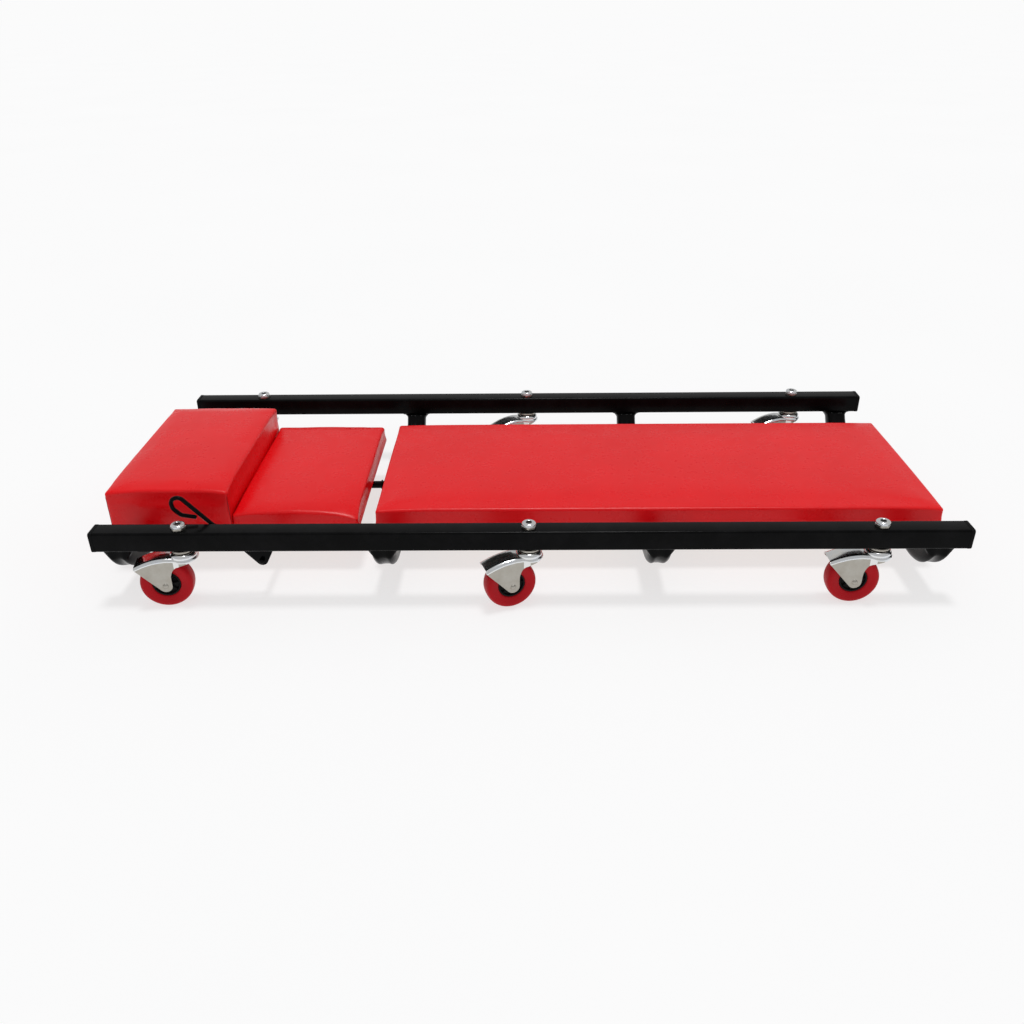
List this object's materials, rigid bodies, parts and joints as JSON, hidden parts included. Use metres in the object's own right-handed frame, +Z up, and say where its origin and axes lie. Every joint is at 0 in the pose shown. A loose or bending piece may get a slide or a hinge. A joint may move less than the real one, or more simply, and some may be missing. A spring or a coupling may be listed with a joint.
{
  "type": "mechanics creeper",
  "caption": "Low padded creeper on swivel casters: two side rails on bent cross tubes, a body pad, and a hinged headrest with a lever prop.",
  "frame": {"origin": "middle of the bounding box on the floor that the wheels stand on", "axes": "+X from the head end to the foot end, +Y to the left of a person lying on it, +Z up"},
  "size_m": [1.0284, 0.4558, 0.1337],
  "materials": {
    "powder_coat": "satin",
    "end_cap_plastic": "satin",
    "vinyl": "satin",
    "plywood": "matte",
    "tread": "satin",
    "hub_plastic": "satin",
    "zinc": "satin"
  },
  "bodies": {
    "frame": {"rail_left": "powder_coat", "rail_right": "powder_coat", "end_cap_head_left": "end_cap_plastic", "end_cap_foot_left": "end_cap_plastic", "end_cap_head_right": "end_cap_plastic", "end_cap_foot_right": "end_cap_plastic", "cross_member_head": "powder_coat", "cross_member_hinge": "powder_coat", "cross_member_middle": "powder_coat", "cross_member_foot": "powder_coat", "body_board": "plywood", "body_cushion": "vinyl", "hinge_clevis": "powder_coat", "hinge_pin": "zinc", "prop_lug": "powder_coat", "prop_bearer": "powder_coat", "stem_head_right": "zinc", "lock_nut_head_right": "zinc", "stem_mid_right": "zinc", "lock_nut_mid_right": "zinc", "stem_foot_right": "zinc", "lock_nut_foot_right": "zinc", "stem_head_left": "zinc", "lock_nut_head_left": "zinc", "stem_mid_left": "zinc", "lock_nut_mid_left": "zinc", "stem_foot_left": "zinc", "lock_nut_foot_left": "zinc"},
    "headrest": {"head_board": "plywood", "head_cushion": "vinyl", "head_pillow": "vinyl", "hinge_arm": "powder_coat", "arm_saddle_1": "zinc", "arm_saddle_2": "zinc"},
    "prop": {"prop_bail": "powder_coat", "prop_handle": "powder_coat"},
    "caster_head_right": {"fork_head_right": "zinc", "axle_head_right": "zinc"},
    "wheel_head_right": {"tyre_head_right": "tread", "hub_head_right": "hub_plastic"},
    "caster_mid_right": {"fork_mid_right": "zinc", "axle_mid_right": "zinc"},
    "wheel_mid_right": {"tyre_mid_right": "tread", "hub_mid_right": "hub_plastic"},
    "caster_foot_right": {"fork_foot_right": "zinc", "axle_foot_right": "zinc"},
    "wheel_foot_right": {"tyre_foot_right": "tread", "hub_foot_right": "hub_plastic"},
    "caster_head_left": {"fork_head_left": "zinc", "axle_head_left": "zinc"},
    "wheel_head_left": {"tyre_head_left": "tread", "hub_head_left": "hub_plastic"},
    "caster_mid_left": {"fork_mid_left": "zinc", "axle_mid_left": "zinc"},
    "wheel_mid_left": {"tyre_mid_left": "tread", "hub_mid_left": "hub_plastic"},
    "caster_foot_left": {"fork_foot_left": "zinc", "axle_foot_left": "zinc"},
    "wheel_foot_left": {"tyre_foot_left": "tread", "hub_foot_left": "hub_plastic"}
  },
  "joints": [
    {"name": "headrest_tilt", "type": "hinge", "parent": "frame", "child": "headrest", "pos_m": [-0.18675, 0.00741, 0.05], "axis": [0, 1, 0], "range_deg": [0, 25]},
    {"name": "prop_swing", "type": "hinge", "parent": "frame", "child": "prop", "pos_m": [-0.31075, 0.00741, 0.0525], "axis": [0, 1, 0], "range_deg": [0, 60]},
    {"name": "swivel_head_right", "type": "hinge", "parent": "frame", "child": "caster_head_right", "pos_m": [-0.39975, -0.19609, 0.066], "axis": [0, 0, 1], "continuous": true},
    {"name": "spin_head_right", "type": "hinge", "parent": "caster_head_right", "child": "wheel_head_right", "pos_m": [-0.42391, -0.19948, 0.031], "axis": [-0.1392, 0.9903, 0], "continuous": true},
    {"name": "swivel_mid_right", "type": "hinge", "parent": "frame", "child": "caster_mid_right", "pos_m": [0.00625, -0.19609, 0.066], "axis": [0, 0, 1], "continuous": true},
    {"name": "spin_mid_right", "type": "hinge", "parent": "caster_mid_right", "child": "wheel_mid_right", "pos_m": [-0.01668, -0.20443, 0.031], "axis": [-0.342, 0.9397, 0], "continuous": true},
    {"name": "swivel_foot_right", "type": "hinge", "parent": "frame", "child": "caster_foot_right", "pos_m": [0.41225, -0.19609, 0.066], "axis": [0, 0, 1], "continuous": true},
    {"name": "spin_foot_right", "type": "hinge", "parent": "caster_foot_right", "child": "wheel_foot_right", "pos_m": [0.38785, -0.19609, 0.031], "axis": [0, 1, 0], "continuous": true},
    {"name": "swivel_head_left", "type": "hinge", "parent": "frame", "child": "caster_head_left", "pos_m": [-0.39975, 0.21091, 0.066], "axis": [0, 0, 1], "continuous": true},
    {"name": "spin_head_left", "type": "hinge", "parent": "caster_head_left", "child": "wheel_head_left", "pos_m": [-0.42296, 0.20337, 0.031], "axis": [-0.309, 0.9511, 0], "continuous": true},
    {"name": "swivel_mid_left", "type": "hinge", "parent": "frame", "child": "caster_mid_left", "pos_m": [0.00625, 0.21091, 0.066], "axis": [0, 0, 1], "continuous": true},
    {"name": "spin_mid_left", "type": "hinge", "parent": "caster_mid_left", "child": "wheel_mid_left", "pos_m": [-0.01604, 0.20099, 0.031], "axis": [-0.4067, 0.9135, 0], "continuous": true},
    {"name": "swivel_foot_left", "type": "hinge", "parent": "frame", "child": "caster_foot_left", "pos_m": [0.41225, 0.21091, 0.066], "axis": [0, 0, 1], "continuous": true},
    {"name": "spin_foot_left", "type": "hinge", "parent": "caster_foot_left", "child": "wheel_foot_left", "pos_m": [0.38892, 0.20378, 0.031], "axis": [-0.2924, 0.9563, 0], "continuous": true}
  ],
  "couplings": [
    {"joint": "prop_swing", "follows": "headrest_tilt", "ratio": 2.4}
  ]
}
